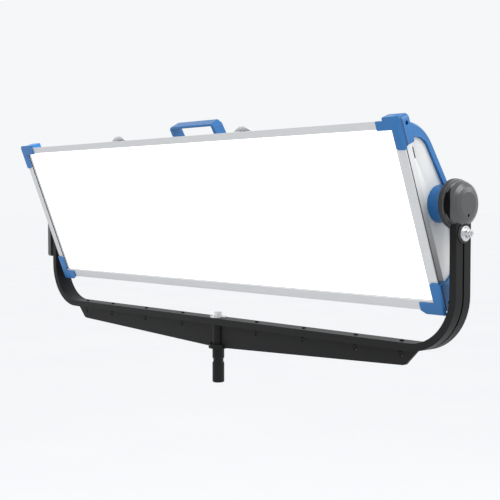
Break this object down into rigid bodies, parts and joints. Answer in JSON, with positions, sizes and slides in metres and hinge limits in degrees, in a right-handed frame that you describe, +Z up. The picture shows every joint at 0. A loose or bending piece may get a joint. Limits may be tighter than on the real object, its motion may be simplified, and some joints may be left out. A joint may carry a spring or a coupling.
{
  "type": "strip soft light",
  "caption": "Long LED soft light: rectangular head with an opal front, corner guards, carry handle and rear electronics, tilting in a wide U-shaped yoke on a spigot.",
  "frame": {"origin": "on the spigot's axis, at the underside of its collar", "axes": "+X along the lamp to its right as the light faces the viewer, +Y to its back, +Z up"},
  "size_m": [1.454, 0.2435, 0.6065],
  "materials": {
    "rim_aluminium": "satin anodised",
    "corner_blue": "satin",
    "panel_grey": "satin powder coat",
    "case_grey": "fine textured powder coat",
    "sink_black": "matt black anodised",
    "yoke_black": "satin black anodised",
    "cap_black": "satin",
    "disc_black": "matt",
    "bush_bronze": "machined",
    "bright_steel": "bright zinc",
    "spigot_steel": "blackened",
    "diffuser_opal": "opal, lit from behind",
    "diffuser_rim": "satin",
    "chamber_white": "matt white",
    "board_white": "solder mask",
    "led_yellow": "phosphor",
    "plate_metal": "mill finish",
    "fan_black": "moulded",
    "console_black": "fine textured",
    "display_glass": "polished",
    "control_rubber": "soft touch",
    "socket_black": "moulded",
    "supply_metal": "folded sheet"
  },
  "bodies": {
    "yoke": {"yoke_bar": "yoke_black", "beam_plates": "yoke_black", "beam_nuts": "spigot_steel", "beam_bolts": "spigot_steel", "spigot": "spigot_steel", "spigot_bolt": "bright_steel", "spigot_washer": "bright_steel", "yoke_cap_left": "cap_black", "yoke_cap_right": "cap_black", "friction_discs": "disc_black", "tilt_bushes": "bush_bronze", "clamp_washer": "disc_black", "clamp_screw": "bright_steel"},
    "tilt_lock": {"tilt_lock_lever": "cap_black"},
    "head": {"rim_top": "rim_aluminium", "rim_bottom": "rim_aluminium", "rim_sides": "rim_aluminium", "corner_bracket_top_left": "corner_blue", "corner_bracket_top_right": "corner_blue", "corner_bracket_bottom_left": "corner_blue", "corner_bracket_bottom_right": "corner_blue", "side_panel_left": "panel_grey", "side_panel_right": "panel_grey", "side_bumper_left": "corner_blue", "side_bumper_right": "corner_blue", "top_cover": "panel_grey", "bottom_cover": "panel_grey", "light_chamber": "chamber_white", "cold_plate": "plate_metal", "led_boards": "board_white", "led_emitters": "led_yellow", "heat_sinks": "sink_black", "fan_frames": "fan_black", "fan_guards": "bright_steel", "electronics_case": "case_grey", "power_supply": "supply_metal", "control_panel": "console_black", "display_window": "display_glass", "power_inlet": "socket_black", "signal_sockets": "socket_black", "carry_handle": "corner_blue", "handle_screws": "bright_steel", "latch_bases": "bright_steel", "safety_eyelet": "bright_steel", "tilt_hubs": "corner_blue", "tilt_axles": "bright_steel", "hub_screws": "bright_steel"},
    "diffuser": {"diffuser_frame": "diffuser_rim", "diffuser_sheet": "diffuser_opal"},
    "latch_left": {"latch_left": "bright_steel"},
    "latch_right": {"latch_right": "bright_steel"},
    "fan_left": {"fan_rotor_left": "fan_black"},
    "fan_right": {"fan_rotor_right": "fan_black"},
    "knob_top": {"menu_knob_top": "control_rubber"},
    "knob_middle": {"menu_knob_middle": "control_rubber"},
    "knob_bottom": {"menu_knob_bottom": "control_rubber"},
    "button_left": {"menu_button_left": "control_rubber"},
    "button_middle": {"menu_button_middle": "control_rubber"},
    "button_right": {"menu_button_right": "control_rubber"},
    "power_switch": {"power_switch": "socket_black"}
  },
  "joints": [
    {"name": "head_tilt", "type": "hinge", "parent": "yoke", "child": "head", "pos_m": [0, 0, 0.338], "axis": [1, 0, 0], "range_deg": [-110.9, 69.1]},
    {"name": "tilt_lock", "type": "hinge", "parent": "yoke", "child": "tilt_lock", "pos_m": [-0.715, 0, 0.338], "axis": [1, 0, 0], "range_deg": [0, 110]},
    {"name": "diffuser_slide", "type": "slide", "parent": "head", "child": "diffuser", "axis": [0, -0.3567, 0.9342], "range_m": [0, 0.362]},
    {"name": "latch_left_turn", "type": "hinge", "parent": "head", "child": "latch_left", "pos_m": [-0.227, -0.11436, 0.48331], "axis": [1, 0, 0], "range_deg": [-35, 0], "stiffness_Nm_per_rad": 0.3},
    {"name": "latch_right_turn", "type": "hinge", "parent": "head", "child": "latch_right", "pos_m": [0.227, -0.11436, 0.48331], "axis": [1, 0, 0], "range_deg": [-35, 0], "stiffness_Nm_per_rad": 0.3},
    {"name": "fan_left_spin", "type": "hinge", "parent": "head", "child": "fan_left", "pos_m": [-0.45, 0.00327, 0.33925], "axis": [0, 0.9342, 0.3567], "continuous": true},
    {"name": "fan_right_spin", "type": "hinge", "parent": "head", "child": "fan_right", "pos_m": [0.45, 0.00327, 0.33925], "axis": [0, 0.9342, 0.3567], "continuous": true},
    {"name": "knob_top_turn", "type": "hinge", "parent": "head", "child": "knob_top", "pos_m": [-0.055, 0.05665, 0.3971], "axis": [0, 0.9342, 0.3567], "continuous": true},
    {"name": "knob_middle_turn", "type": "hinge", "parent": "head", "child": "knob_middle", "pos_m": [-0.055, 0.06913, 0.3644], "axis": [0, 0.9342, 0.3567], "continuous": true},
    {"name": "knob_bottom_turn", "type": "hinge", "parent": "head", "child": "knob_bottom", "pos_m": [-0.055, 0.08162, 0.3317], "axis": [0, 0.9342, 0.3567], "continuous": true},
    {"name": "button_left_press", "type": "slide", "parent": "head", "child": "button_left", "axis": [0, -0.9342, -0.3567], "range_m": [0, 0.0012], "stiffness_N_per_m": 800},
    {"name": "button_middle_press", "type": "slide", "parent": "head", "child": "button_middle", "axis": [0, -0.9342, -0.3567], "range_m": [0, 0.0012], "stiffness_N_per_m": 800},
    {"name": "button_right_press", "type": "slide", "parent": "head", "child": "button_right", "axis": [0, -0.9342, -0.3567], "range_m": [0, 0.0012], "stiffness_N_per_m": 800},
    {"name": "power_switch_rock", "type": "hinge", "parent": "head", "child": "power_switch", "pos_m": [0.205, 0.07848, 0.30909], "axis": [0, -0.3567, 0.9342], "range_deg": [-16, 0]}
  ]
}
